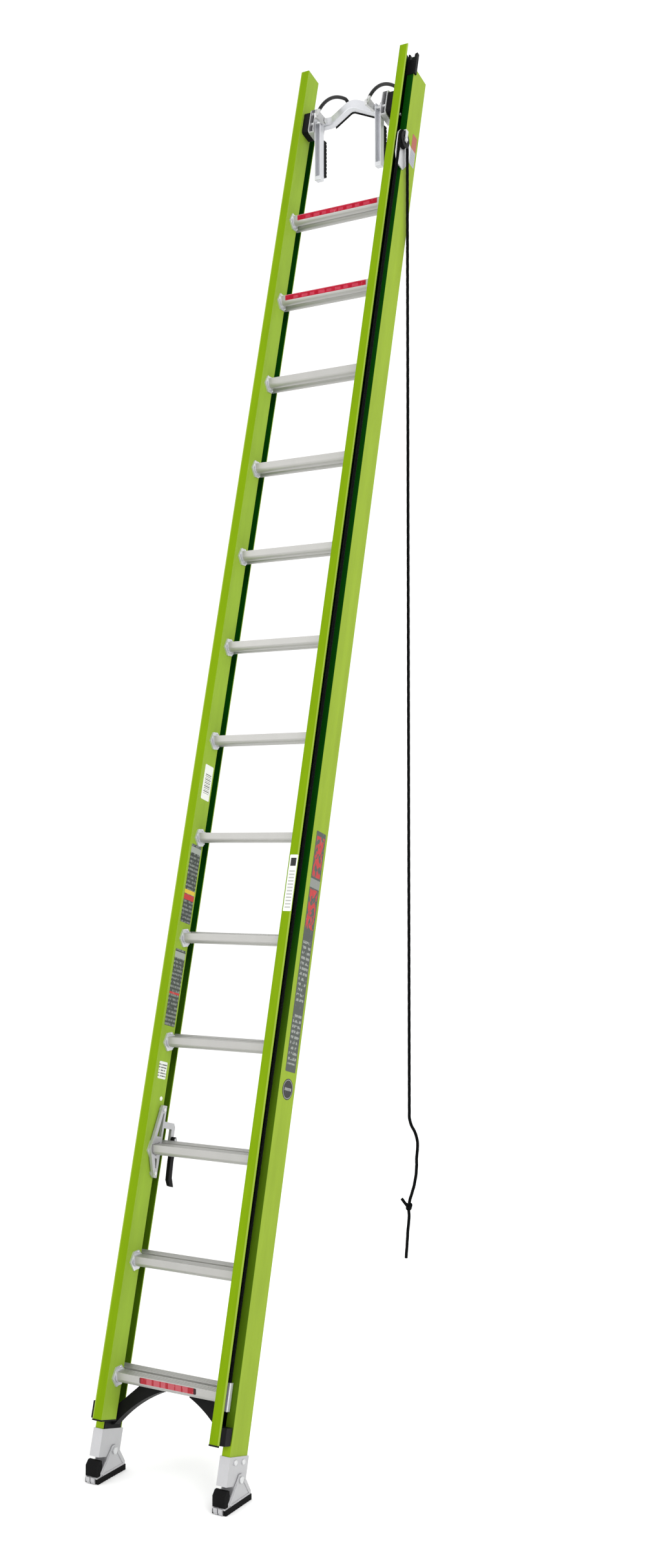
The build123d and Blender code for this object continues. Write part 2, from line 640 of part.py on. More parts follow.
def cable_hook():
    """A round steel hook on a flat crank that turns on the hanger pin."""
    rise = ThreePointArc((HOOK_X, -30, 4140), (HOOK_X, 21, 4243), (HOOK_X, 126, 4331))
    tip = TangentArc((HOOK_X, 126, 4331), (HOOK_X, 170, 4312), tangent=rise % 1)
    path = Wire([rise, tip])
    rod = sweep(Plane(origin=path @ 0, z_dir=path % 0) * Circle(HOOK_RADIUS), path=path)
    rod += Pos(path @ 1) * Sphere(HOOK_RADIUS)
    crank = side_plate([(HANGER_Y + 7, HANGER_Z + 8), (HANGER_Y + 10, HANGER_Z),
                        (HANGER_Y + 5, HANGER_Z - 10), (-34, 4132), (-40, 4146),
                        (-24, 4166), (HANGER_Y - 4, HANGER_Z + 11)],
                       HOOK_X - 4, HOOK_X + 4, radius=3)
    return rod + crank - rod_x(HOOK_X - 6, HOOK_X + 6, HANGER_Y, HANGER_Z,
                               PIN_RADIUS + PIVOT_CLEARANCE)


def hanging_arm():
    """A channel that hangs plumb from the hanger pin, with a solid toe."""
    x0 = ARM_X - ARM_WIDTH / 2
    x1 = ARM_X + ARM_WIDTH / 2
    cheek = [(-11, 6), (-5, 14), (7, 14), (14, 7), (14, 12 - ARM_LENGTH),
             (-10, 12 - ARM_LENGTH), (-11, -14)]
    arm = side_plate(cheek, x0, x0 + 2.5, radius=2) + side_plate(cheek, x1 - 2.5, x1, radius=2)
    arm += block(x0, x1, 11.5, 14, 14 - ARM_LENGTH, 5)
    toe = block(x0, x1, -10, 14, -ARM_LENGTH, 14 - ARM_LENGTH)
    arm += fillet(toe.edges().filter_by(Axis.X).group_by(Axis.Z)[0], 3)
    arm -= rod_x(x0 - 1, x1 + 1, 0, 0, PIN_RADIUS + PIVOT_CLEARANCE)
    return arm


def arm_pad():
    """The ribbed black rubber pad on the back of the arm."""
    pad = block(ARM_X - ARM_WIDTH / 2 - 1, ARM_X + ARM_WIDTH / 2 + 1, 14, 32,
                18 - ARM_LENGTH, -58)
    pad = fillet(pad.edges().filter_by(Axis.X).group_by(Axis.Y)[-1], 5)
    for step in range(9):
        z = 28 - ARM_LENGTH + 13 * step
        pad -= block(ARM_X - 20, ARM_X + 20, 29, 33, z, z + 4)
    return pad


# ---- write the sub-parts --------------------------------------------------

def write_base_section():
    write_pair("base_rail", base_rail())
    one = upright(rung(BASE_HALF_WEB - WEB), 0, 0)
    write("base_rungs", Compound([Pos(0, BASE_RUNG_Y, z) * one
                                  for z in rung_heights(BASE_FIRST_RUNG)]))
    collar = base_collar()
    write_both("base_rung_collars", Compound([Pos(0, BASE_RUNG_Y, z) * collar
                                              for z in rung_heights(BASE_FIRST_RUNG)]))
    write_pair("arch_brace", arch_brace())
    write_both("top_guides", top_guide())
    write_pair("foot_bracket", foot_bracket())
    write_both("foot_bolts", foot_bolts())
    write("pulley_bracket", pulley_bracket())
    write("pulley_axle", pulley_axle())
    write("pulley_sheave", pulley_sheave())


def write_fly_section():
    write_pair("fly_rail", fly_rail())
    one = upright(rung(FLY_HALF_WEB), 0, 0)
    for index, z in enumerate(rung_heights(FLY_FIRST_RUNG), start=1):
        write(f"fly_rung_{index:02d}", Pos(0, FLY_RUNG_Y, z) * one)
    write_both("fly_rung_collars", fly_collars())
    write_both("fly_end_caps", fly_end_cap())
    write_both("bottom_guides", bottom_guide())
    write_pair("rung_lock_frame", lock_frame())
    write_pair("rung_lock_claw", lock_claw())
    write_both("rung_lock_bolts", lock_bolts())
    write("rope_anchor", rope_anchor())


def write_top_hardware():
    write("v_rung", v_rung())
    write("v_rung_pad", v_rung_pad())
    write_both("hanger_fasteners", hanger_fasteners())
    write_pair("hanger_bracket", hanger_bracket())
    write_both("hanger_spacers", hanger_spacer())
    write_pair("cable_hook", cable_hook())
    write_pair("hanging_arm", upright(hanging_arm(), HANGER_Y, HANGER_Z))
    write_pair("arm_pad", upright(arm_pad(), HANGER_Y, HANGER_Z))


def write_feet_and_rope():
    write_pair("foot_shoe", upright(foot_shoe(), PIVOT_Y, PIVOT_Z))
    write_pair("foot_pad", upright(foot_pad(), PIVOT_Y, PIVOT_Z))
    write_pair("foot_bumper", upright(foot_bumper(), PIVOT_Y, PIVOT_Z))
    write("haul_rope", haul_rope())
    export_step(hanging_rope(), "parts/hanging_rope.step")
    export_step(rope_knot(), "parts/rope_knot.step")


write_base_section()
write_fly_section()
write_top_hardware()
write_feet_and_rope()
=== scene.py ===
from math import cos, pi, radians, sin, tau

import bmesh
import bpy
from mathutils import Matrix, Vector


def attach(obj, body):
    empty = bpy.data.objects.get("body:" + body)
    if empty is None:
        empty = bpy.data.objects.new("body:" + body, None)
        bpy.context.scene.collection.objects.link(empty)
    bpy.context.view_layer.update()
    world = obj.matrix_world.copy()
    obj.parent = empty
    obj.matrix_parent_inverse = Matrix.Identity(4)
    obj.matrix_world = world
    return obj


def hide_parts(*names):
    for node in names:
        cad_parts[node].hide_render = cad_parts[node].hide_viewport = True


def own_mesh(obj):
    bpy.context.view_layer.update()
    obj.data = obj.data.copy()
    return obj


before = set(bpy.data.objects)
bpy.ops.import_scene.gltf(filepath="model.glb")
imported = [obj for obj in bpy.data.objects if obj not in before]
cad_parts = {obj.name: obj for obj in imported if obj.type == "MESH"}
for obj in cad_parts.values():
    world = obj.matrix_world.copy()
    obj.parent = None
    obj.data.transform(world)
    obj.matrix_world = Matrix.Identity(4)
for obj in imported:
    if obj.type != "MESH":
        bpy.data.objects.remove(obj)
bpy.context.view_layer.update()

# ---------------------------------------------------------------------------
# Looks of a leaning extension ladder.  Lengths are in metres, in the row
# frame.  Places on the ladder are given in its rail frame: X to the climber's
# right, Y away from the climber (0 = front of the fly rails), Z up the rails.
# ---------------------------------------------------------------------------

LEAN = radians(15)
RAIL_ORIGIN = Vector((0, -0.068806, 0.147199))
RAIL_UP = Vector((0, sin(LEAN), cos(LEAN)))
RAIL_BACK = Vector((0, cos(LEAN), -sin(LEAN)))
RAIL_TO_ROW = Matrix.Translation(RAIL_ORIGIN) @ Matrix.Rotation(-LEAN, 4, "X")

PITCH = 0.3048
FIRST_RUNG = 0.140
FLY_WEB_INNER = 0.173
FLY_WEB_OUTER = 0.177
BASE_WEB_OUTER = 0.217
RUNG_Y = 0.046
RUNG_HALF_WIDTH = 0.016
LOCK_RUNG_Z = FIRST_RUNG + 2 * PITCH
STICKER = 0.0004               # thickness of a label
FLY_INSIDE = (0.0043, 0.0647)  # between the fly channel's flanges, from front to back
BASE_INSIDE = (0.044, 0.125)   # the same for the base channel
CRANK_TOP = 4.174              # the hooks' bare cranks lie below this
CRANK_BACK = 0.0325            # and in front of this

SHEAVE_X = 0.2275
SHEAVE_Y = 0.015
SHEAVE_Z = 3.997
ROPE_LOOP = 0.0254
ROPE_RADIUS = 0.005
ROPE_END_HEIGHT = 0.413
ANCHOR_X = 0.194
ANCHOR_Y = 0.028
ANCHOR_TOP = 0.180


def rail(x, y, z):
    """A point of the rail frame, in the row frame."""
    return RAIL_ORIGIN + Vector((x, 0, 0)) + y * RAIL_BACK + z * RAIL_UP


# ---- camera and light -----------------------------------------------------

def add_camera():
    data = bpy.data.cameras.new("camera")
    data.sensor_width = 36.0
    data.lens = 36.14
    camera = bpy.data.objects.new("camera", data)
    camera.location = (2.4511, -3.5226, 1.7186)
    camera.rotation_euler = (radians(92.25), 0, radians(29.27))
    bpy.context.scene.collection.objects.link(camera)
    bpy.context.scene.camera = camera


def add_area_light(name, place, target, size, power):
    data = bpy.data.lights.new(name, "AREA")
    data.shape = "DISK"
    data.size = size
    data.energy = power
    light = bpy.data.objects.new(name, data)
    light.location = place
    light.rotation_euler = (Vector(target) - Vector(place)).to_track_quat("-Z", "Y").to_euler()
    bpy.context.scene.collection.objects.link(light)


def add_studio():
    scene = bpy.context.scene
    scene.view_settings.view_transform = "Standard"
    world = bpy.data.worlds.new("studio")
    world.use_nodes = True
    background = world.node_tree.nodes["Background"]
    background.inputs["Color"].default_value = (1, 1, 1, 1)
    background.inputs["Strength"].default_value = 1.12
    scene.world = world
    add_area_light("key", (4.5, -3.0, 5.2), (0, 0.6, 2.1), 4.0, 150)
    add_area_light("fill", (-4.0, -4.0, 3.0), (0, 0.6, 2.1), 3.5, 60)


def add_floor():
    mesh = bpy.data.meshes.new("studio_floor")
    shape = bmesh.new()
    bmesh.ops.create_circle(shape, cap_ends=True, segments=96, radius=14)
    shape.to_mesh(mesh)
    shape.free()
    floor = bpy.data.objects.new("studio_floor", mesh)
    floor.location = (0, 0.5, -0.0005)
    bpy.context.scene.collection.objects.link(floor)
    floor.data.materials.append(floor_material())


# ---- material helpers -----------------------------------------------------

def srgb(red, green, blue):
    """A colour given as 0-255 display values, as linear RGBA."""
    def linear(value):
        value = value / 255
        return value / 12.92 if value <= 0.04045 else ((value + 0.055) / 1.055) ** 2.4
    return (linear(red), linear(green), linear(blue), 1.0)


class Nodes:
    """Builds one node material, step by step."""

    def __init__(self, name, roughness=0.5, metallic=0.0, specular=0.5, coat=0.0):
        self.material = bpy.data.materials.new(name)
        self.material.use_nodes = True
        self.tree = self.material.node_tree
        self.shader = self.tree.nodes["Principled BSDF"]
        self.shader.inputs["Roughness"].default_value = roughness
        self.shader.inputs["Metallic"].default_value = metallic
        self.shader.inputs["Specular IOR Level"].default_value = specular
        self.shader.inputs["Coat Weight"].default_value = coat
        self.coords = self.tree.nodes.new("ShaderNodeTexCoord").outputs["Object"]

    def add(self, kind, **settings):
        node = self.tree.nodes.new(kind)
        for key, value in settings.items():
            setattr(node, key, value)
        return node

    def link(self, source, target):
        self.tree.links.new(source, target)

    def feed(self, socket, value):
        """Link a socket, or set its constant."""
        if isinstance(value, bpy.types.NodeSocket):
            self.link(value, socket)
        else:
            socket.default_value = value

    def math(self, operation, a, b=0.0, clamp=False):
        node = self.add("ShaderNodeMath", operation=operation, use_clamp=clamp)
        self.feed(node.inputs[0], a)
        self.feed(node.inputs[1], b)
        return node.outputs[0]

    def rail_coords(self):
        """Rail-frame X, Y and Z of the surface, as three sockets."""
        mapping = self.add("ShaderNodeMapping", vector_type="POINT")
        mapping.inputs["Location"].default_value = RAIL_TO_ROW.inverted().translation
        mapping.inputs["Rotation"].default_value = (LEAN, 0, 0)
        self.link(self.coords, mapping.inputs["Vector"])
        split = self.add("ShaderNodeSeparateXYZ")
        self.link(mapping.outputs[0], split.inputs[0])
        return split.outputs

    def facing(self, direction):
        """How far the flat surface faces a row-frame direction, -1 to 1."""
        normal = self.add("ShaderNodeNewGeometry").outputs["True Normal"]
        local = self.add("ShaderNodeVectorTransform", vector_type="NORMAL",
                         convert_from="WORLD", convert_to="OBJECT")
        self.link(normal, local.inputs[0])
        dot = self.add("ShaderNodeVectorMath", operation="DOT_PRODUCT")
        self.link(local.outputs[0], dot.inputs[0])
        dot.inputs[1].default_value = direction
        return dot.outputs["Value"]

    def step(self, value, low, high):
        """0 below low, 1 above high, smooth between."""
        node = self.add("ShaderNodeMapRange", interpolation_type="SMOOTHSTEP")
        self.feed(node.inputs["Value"], value)
        node.inputs["From Min"].default_value = low
        node.inputs["From Max"].default_value = high
        return node.outputs["Result"]

    def band(self, value, low, high, soft=0.0002):
        """1 between low and high, 0 outside."""
        rise = self.step(value, low - soft, low + soft)
        fall = self.step(value, high - soft, high + soft)
        return self.math("SUBTRACT", rise, fall, clamp=True)

    def both(self, *masks):
        result = masks[0]
        for mask in masks[1:]:
            result = self.math("MULTIPLY", result, mask)
        return result

    def either(self, *masks):
        result = masks[0]
        for mask in masks[1:]:
            result = self.math("MAXIMUM", result, mask)
        return result

    def mix(self, factor, first, second):
        node = self.add("ShaderNodeMix", data_type="RGBA")
        self.feed(node.inputs["Factor"], factor)
        self.feed(node.inputs["A"], first)
        self.feed(node.inputs["B"], second)
        return node.outputs["Result"]

    def noise(self, scale, stretch=(1, 1, 1), detail=4.0, rough=0.55):
        """Noise in the rail frame, stretched along its axes."""
        mapping = self.add("ShaderNodeMapping", vector_type="POINT")
        mapping.inputs["Rotation"].default_value = (LEAN, 0, 0)
        self.link(self.coords, mapping.inputs["Vector"])
        scaled = self.add("ShaderNodeVectorMath", operation="MULTIPLY")
        self.link(mapping.outputs[0], scaled.inputs[0])
        scaled.inputs[1].default_value = stretch
        node = self.add("ShaderNodeTexNoise")
        node.inputs["Scale"].default_value = scale
        node.inputs["Detail"].default_value = detail
        node.inputs["Roughness"].default_value = rough
        self.link(scaled.outputs[0], node.inputs["Vector"])
        return node.outputs["Fac"]

    def edge_wear(self, strength=1.0):
        """Bright where edges are convex."""
        bevel = self.add("ShaderNodeBevel", samples=4)
        bevel.inputs["Radius"].default_value = 0.0015
        geometry = self.add("ShaderNodeNewGeometry")
        dot = self.add("ShaderNodeVectorMath", operation="DOT_PRODUCT")
        self.link(bevel.outputs[0], dot.inputs[0])
        self.link(geometry.outputs["Normal"], dot.inputs[1])
        away = self.math("SUBTRACT", 1.0, dot.outputs["Value"], clamp=True)
        return self.math("MULTIPLY", away, strength, clamp=True)

    def vary(self, color, amount, factor):
        """The colour, lightened and darkened by a 0-1 factor about its middle."""
        node = self.add("ShaderNodeHueSaturation")
        self.feed(node.inputs["Color"], color)
        self.link(self.math("ADD", self.math("MULTIPLY", factor, 2 * amount), 1 - amount),
                  node.inputs["Value"])
        return node.outputs[0]

    def bump(self, height, strength, distance=0.001):
        node = self.add("ShaderNodeBump")
        node.inputs["Strength"].default_value = strength
        node.inputs["Distance"].default_value = distance
        self.link(height, node.inputs["Height"])
        self.link(node.outputs[0], self.shader.inputs["Normal"])

    def roughness(self, factor, low, high):
        spread = self.math("MULTIPLY", factor, high - low)
        self.link(self.math("ADD", spread, low), self.shader.inputs["Roughness"])

    def color(self, value):
        self.feed(self.shader.inputs["Base Color"], value)
        return self.material


# ---- materials ------------------------------------------------------------

def floor_material():
    nodes = Nodes("studio_floor", roughness=1.0, specular=0.0)
    grain = nodes.noise(30)
    return nodes.color(nodes.vary(srgb(255, 255, 255), 0.004, grain))


def fiberglass(nodes, color):
    """Pultruded glass fibre: fine fibres along the rail, cloudy patches across it."""
    fibres = nodes.noise(60, stretch=(14, 14, 0.35), detail=6.0)
    clouds = nodes.noise(9, stretch=(2.2, 2.2, 0.6), detail=3.0)
    streaks = nodes.noise(4, stretch=(9, 9, 0.12), detail=2.0)
    color = nodes.vary(color, 0.11, fibres)
    color = nodes.vary(color, 0.12, clouds)
    color = nodes.vary(color, 0.08, streaks)
    nodes.roughness(fibres, 0.38, 0.58)
    nodes.bump(fibres, 0.25, 0.0006)
    return nodes.color(color)


def fly_rail_material():
    nodes = Nodes("fly_fiberglass", specular=0.05)
    x, y, _ = nodes.rail_coords()
    across = nodes.math("ABSOLUTE", x)
    # Faces toward the climber are painted a darker olive than the webs: painted shade, as if the
    # light falls mostly from the side.
    front = nodes.step(nodes.facing(-RAIL_BACK), 0.55, 0.85)
    color = nodes.mix(front, srgb(139, 168, 54), srgb(112, 144, 1))
    # A paler band along the front flange's outer edge: a painted highlight where the edge would
    # catch the light.
    painted_edge_highlight = nodes.both(front, nodes.band(across, 0.1995, 0.2035, 0.0008))
    color = nodes.mix(painted_edge_highlight, color, srgb(140, 162, 62))
    worn = nodes.edge_wear(0.5)
    color = nodes.mix(worn, color, srgb(176, 196, 122))
    # Inside the fly channel and along the rear flange's back edge the colour is near black: painted
    # shade of the recess.
    painted_channel_shade = nodes.both(nodes.step(across, FLY_WEB_OUTER - 0.001, FLY_WEB_OUTER - 0.0004),
                        nodes.band(y, *FLY_INSIDE))
    painted_back_edge_shade = nodes.both(nodes.step(across, 0.2024, 0.2029), nodes.step(y, 0.0640, 0.0646))
    color = nodes.mix(nodes.either(painted_channel_shade, painted_back_edge_shade), color, srgb(2, 22, 2))
    return fiberglass(nodes, color)


def base_rail_material():
    """Lime outside, with painted shade: the faces toward the climber are painted darker the higher
    they are, as the fly section's shadow, and the inside of the channel is painted darker too.
    """
    nodes = Nodes("base_fiberglass", specular=0.05)
    x, y, z = nodes.rail_coords()
    across = nodes.math("ABSOLUTE", x)
    front = nodes.step(nodes.facing(-RAIL_BACK), 0.55, 0.85)
    # Faces toward the climber carry a painted shadow of the fly section. They are lit lime only
    # below 2 cm, olive above that, and dark green from about 0.8 m up.
    height = nodes.step(z, 0.8, 1.5)
    painted_front_shade_low = nodes.mix(nodes.step(z, 0.02, 0.05), srgb(132, 164, 20), srgb(76, 106, 14))
    painted_front_shade = nodes.mix(height, painted_front_shade_low, srgb(8, 66, 8))
    # Inside the base channel the green is painted darker: painted shade of the recess.
    painted_channel_shade = nodes.both(nodes.step(nodes.math("SUBTRACT", 0.0, across), -0.2135, -0.2129),
                        nodes.band(y, *BASE_INSIDE))
    color = nodes.mix(nodes.edge_wear(0.5), srgb(137, 161, 50), srgb(184, 204, 128))
    color = nodes.mix(painted_channel_shade, color, srgb(42, 118, 10))
    color = nodes.mix(front, color, painted_front_shade)
    return fiberglass(nodes, color)


def metal(name, color, roughness, streaks, scale, stretch, wear=0.4, metallic=0.85):
    nodes = Nodes(name, metallic=metallic, specular=0.5)
    grain = nodes.noise(scale, stretch=stretch, detail=5.0)
    smudges = nodes.noise(22, detail=3.0)
    shade = nodes.vary(color, streaks, grain)
    shade = nodes.vary(shade, 0.05, smudges)
    shade = nodes.mix(nodes.edge_wear(wear), shade, srgb(244, 244, 242))
    nodes.roughness(grain, roughness - 0.08, roughness + 0.10)
    nodes.bump(grain, 0.15, 0.0003)
    return nodes.color(shade)


def plastic(name, color, roughness, scale=700, depth=0.0003, specular=0.09):
    nodes = Nodes(name, specular=specular)
    texture = nodes.noise(scale, detail=3.0)
    dust = nodes.noise(35, detail=4.0)
    shade = nodes.vary(color, 0.12, texture)
    shade = nodes.mix(nodes.math("MULTIPLY", dust, 0.02), shade, srgb(150, 150, 145))
    shade = nodes.mix(nodes.edge_wear(0.3), shade, srgb(80, 80, 80))
    nodes.roughness(dust, roughness - 0.07, roughness + 0.12)
    nodes.bump(texture, 0.35, depth)
    return nodes.color(shade)


def hook_material():
    """A black-dipped hook whose flat crank is bare plated steel."""
    nodes = Nodes("dipped_steel", roughness=0.4, specular=0.12)
    _, y, z = nodes.rail_coords()
    skin = nodes.noise(300, detail=3.0)
    bare = nodes.both(nodes.step(nodes.math("SUBTRACT", CRANK_TOP, z), -0.002, 0.002),
                      nodes.step(nodes.math("SUBTRACT", CRANK_BACK, y), -0.0015, 0.0015))
    dipped = nodes.vary(srgb(8, 8, 10), 0.2, skin)
    plated = nodes.vary(srgb(196, 196, 196), 0.08, skin)
    plated = nodes.mix(nodes.edge_wear(0.4), plated, srgb(240, 240, 240))
    nodes.link(nodes.math("MULTIPLY", bare, 0.7), nodes.shader.inputs["Metallic"])
    nodes.bump(skin, 0.3, 0.0003)
    return nodes.color(nodes.mix(bare, dipped, plated))


def rope_material():
    """Black rope with paler fibres that catch the light."""
    nodes = Nodes("black_rope", roughness=0.85, specular=0.06)
    fibres = nodes.noise(900, stretch=(1, 1, 0.25), detail=3.0)
    color = nodes.mix(nodes.step(fibres, 0.5, 0.8), srgb(5, 6, 6), srgb(30, 32, 36))
    nodes.bump(fibres, 0.6, 0.0004)
    return nodes.color(color)


MATERIALS = {
    "fly_rail": fly_rail_material(),
    "base_rail": base_rail_material(),
    "rung": metal("rung_aluminium", srgb(172, 171, 168), 0.44, 0.07, 240, (0.02, 3, 3),
                  metallic=0.55),
    "cast": metal("cast_aluminium", srgb(182, 182, 184), 0.46, 0.06, 260, (1, 1, 1),
                  metallic=0.6),
    "bright": metal("bright_aluminium", srgb(208, 209, 213), 0.34, 0.05, 300, (1, 1, 1),
                    metallic=0.6),
    "zinc": metal("zinc_steel", srgb(206, 207, 208), 0.36, 0.08, 500, (1, 1, 1), metallic=0.6),
    "black_steel": hook_material(),
    "black_plastic": plastic("black_plastic", srgb(10, 10, 12), 0.48),
    "rubber": plastic("black_rubber", srgb(12, 12, 13), 0.72, 420, 0.0005, specular=0.06),
    "rope": rope_material(),
}

# which material each CAD node takes, by the start of its name
NODE_MATERIALS = [
    ("fly_rail_", "fly_rail"),
    ("base_rail_", "base_rail"),
    ("fly_rung_collars", "bright"),
    ("fly_rung_", "rung"),
    ("base_rung_collars", "cast"),
    ("base_rungs", "rung"),
    ("rope_anchor", "bright"),
    ("foot_bracket_", "cast"),
    ("foot_shoe_", "cast"),
    ("foot_bolts", "zinc"),
    ("foot_pad_", "rubber"),
    ("foot_bumper_", "rubber"),
    ("rung_lock_frame_", "cast"),
    ("rung_lock_bolts", "zinc"),
    ("rung_lock_claw_", "black_plastic"),
    ("arch_brace_", "black_plastic"),
    ("top_guides", "black_plastic"),
    ("bottom_guides", "black_plastic"),
    ("fly_end_caps", "black_plastic"),
    ("hanger_bracket_", "cast"),
    ("hanger_spacers", "black_plastic"),
    ("hanger_fasteners", "zinc"),
    ("hanging_arm_", "bright"),
    ("arm_pad_", "rubber"),
    ("cable_hook_", "black_steel"),
    ("v_rung_pad", "rubber"),
    ("v_rung", "bright"),
    ("pulley_bracket", "zinc"),
    ("pulley_axle", "zinc"),
    ("pulley_sheave", "black_plastic"),
    ("hanging_rope", "rope"),
    ("haul_rope", "rope"),
    ("rope_knot", "rope"),
]


def dress_cad_nodes():
    for name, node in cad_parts.items():
        key = next(key for start, key in NODE_MATERIALS if name.startswith(start))
        if node.data.materials:
            node.data.materials[0] = MATERIALS[key]
        else:
            node.data.materials.append(MATERIALS[key])


# ---- mesh helpers ---------------------------------------------------------

def new_piece(name, shape, material, body, smooth=True):
    mesh = bpy.data.meshes.new(name)
    bmesh.ops.recalc_face_normals(shape, faces=shape.faces)
    shape.to_mesh(mesh)
    shape.free()
    piece = bpy.data.objects.new(name, mesh)
    bpy.context.scene.collection.objects.link(piece)
    mesh.materials.append(material)
    for face in mesh.polygons:
        face.use_smooth = smooth
    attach(piece, body)
    return piece


def route_points(name, controls):
    """Points along the smooth NURBS spline that these control points shape."""
    curve = bpy.data.curves.new(name, "CURVE")
    curve.dimensions = "3D"
    curve.resolution_u = 24
    spline = curve.splines.new("NURBS")
    spline.points.add(len(controls) - 1)
    for point, place in zip(spline.points, controls):
        point.co = (*place, 1.0)
    spline.order_u = 3
    spline.use_endpoint_u = True
    holder = bpy.data.objects.new(name, curve)
    bpy.context.scene.collection.objects.link(holder)
    bpy.context.view_layer.update()
    line = bpy.data.meshes.new_from_object(holder)
    points = [vertex.co.copy() for vertex in line.vertices]
    bpy.data.objects.remove(holder)
    bpy.data.meshes.remove(line)
    return points


def even_steps(points, spacing):
    """The same line, cut into even steps."""
    result = [points[0].copy()]
    carried = 0.0
    for here, there in zip(points, points[1:]):
        run = (there - here).length
        while carried + run >= spacing:
            fraction = (spacing - carried) / run
            here = here.lerp(there, fraction)
            result.append(here.copy())
            run = (there - here).length
            carried = 0.0
        carried += run
    if (points[-1] - result[-1]).length > spacing * 0.3:
        result.append(points[-1].copy())
    return result


def strand_tube(points, radius, strands=3, lay=0.034, groove=0.13, sides=24):
    """A laid rope: a tube whose strands wind round its line once per lay length."""
    shape = bmesh.new()
    tangent = (points[1] - points[0]).normalized()
    side = tangent.orthogonal().normalized()
    rings = []
    travelled = 0.0
    for index, point in enumerate(points):
        if index:
            travelled += (point - points[index - 1]).length
        after = points[min(index + 1, len(points) - 1)]
        before = points[max(index - 1, 0)]
        new_tangent = (after - before).normalized()
        side = tangent.rotation_difference(new_tangent) @ side
        tangent = new_tangent
        up = tangent.cross(side)
        ring = []
        for step in range(sides):
            angle = tau * step / sides
            lobe = abs(cos(strands * (angle - tau * travelled / (lay * strands)) / 2))
            reach = radius * (1 - groove + groove * lobe ** 0.6)
            ring.append(shape.verts.new(point + reach * (cos(angle) * side + sin(angle) * up)))
        rings.append(ring)
    for ring, following in zip(rings, rings[1:]):
        for step in range(sides):
            ahead = (step + 1) % sides
            shape.faces.new((ring[step], ring[ahead], following[ahead], following[step]))
    shape.faces.new(rings[0])
    shape.faces.new(rings[-1])
    return shape


# ---- rope -----------------------------------------------------------------

# Bends of the free run: to the right, away from the climber, above the cut end
ROPE_BENDS = [
    (0, 0, 0.429), (0.022, 0.004, 0.393), (0.026, 0.009, 0.357), (0.022, 0.006, 0.320),
    (0.027, -0.003, 0.283), (0.022, -0.007, 0.240), (0.011, -0.004, 0.208), (0, 0.001, 0.184),
    (-0.005, 0.004, 0.154), (-0.002, 0.002, 0.126), (-0.005, -0.002, 0.092),
    (-0.009, 0.001, 0.047), (-0.014, 0.003, 0),
]
ROPE_KNOT = (-0.004, 0.003, 0.163)


def hanging_route():
    """From the front of the sheave, over it, and plumb down to the cut end."""
    axle = rail(SHEAVE_X, SHEAVE_Y, SHEAVE_Z)
    start = axle + ROPE_LOOP * Vector((0, -cos(LEAN), sin(LEAN)))
    corner = ROPE_LOOP * 1.05
    over_front = axle + Vector((0, -0.86 * ROPE_LOOP, 0.9 * ROPE_LOOP))
    over_top = axle + Vector((0, -0.1 * ROPE_LOOP, corner * 1.05))
    over_back = axle + Vector((0, corner, corner * 0.9))
    fall = axle + Vector((0, ROPE_LOOP, 0))
    route = [start, over_front, over_top, over_back, fall, fall - Vector((0, 0, 0.060))]
    first = ROPE_BENDS[0]
    route.append(Vector((fall.x, fall.y, ROPE_END_HEIGHT + first[2] + 0.042)))
    for right, back, up in ROPE_BENDS:
        route.append(Vector((fall.x + right, fall.y + back, ROPE_END_HEIGHT + up)))
    return route


def add_hanging_rope():
    points = even_steps(route_points("rope_route", hanging_route()), 0.0026)
    rope = new_piece("braided_fall_rope", strand_tube(points, ROPE_RADIUS), MATERIALS["rope"],
                     "base_section")
    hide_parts("hanging_rope")
    knot = add_knot()


def add_knot():
    """An overhand knot: a tight trefoil with its tail sticking out."""
    axle = rail(SHEAVE_X, SHEAVE_Y, SHEAVE_Z)
    right, back, up = ROPE_KNOT
    centre = Vector((axle.x + right, axle.y + ROPE_LOOP + back, ROPE_END_HEIGHT + up))
    size = 0.0031
    turns = 72
    points = []
    for index in range(turns):
        angle = tau * index / turns
        points.append(centre + size * Vector((sin(angle) + 2 * sin(2 * angle),
                                              -sin(3 * angle) * 1.2,
                                              cos(angle) - 2 * cos(2 * angle))))
    points.append(points[0].copy())
    shape = strand_tube(points, ROPE_RADIUS * 0.94, sides=16)
    tail = [centre + Vector((-0.006 - 0.0011 * step, 0.001, 0.0012 * step)) for step in range(19)]
    loose_end = strand_tube(tail, ROPE_RADIUS * 0.98, sides=16)
    tail_mesh = bpy.data.meshes.new("rope_tail")
    loose_end.to_mesh(tail_mesh)
    loose_end.free()
    shape.from_mesh(tail_mesh)
    bpy.data.meshes.remove(tail_mesh)
    knot = new_piece("overhand_knot", shape, MATERIALS["rope"], "base_section")
    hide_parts("rope_knot")
    return knot


def add_haul_rope():
    """The tight run, straight from the anchor to the front of the sheave. On the ladder it shortens
    as the fly section rises; this piece stays fixed to the base section.
    """
    low = rail(ANCHOR_X, ANCHOR_Y, ANCHOR_TOP)
    axle = rail(SHEAVE_X, SHEAVE_Y, SHEAVE_Z)
    top = axle + ROPE_LOOP * Vector((0, -cos(LEAN), sin(LEAN)))
    steps = 1400
    points = [low.lerp(top, index / steps) for index in range(steps + 1)]
    rope = new_piece("braided_haul_rope", strand_tube(points, ROPE_RADIUS, sides=16),
                     MATERIALS["rope"], "base_section")
    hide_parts("haul_rope")
    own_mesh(rope)


# ---- labels ---------------------------------------------------------------

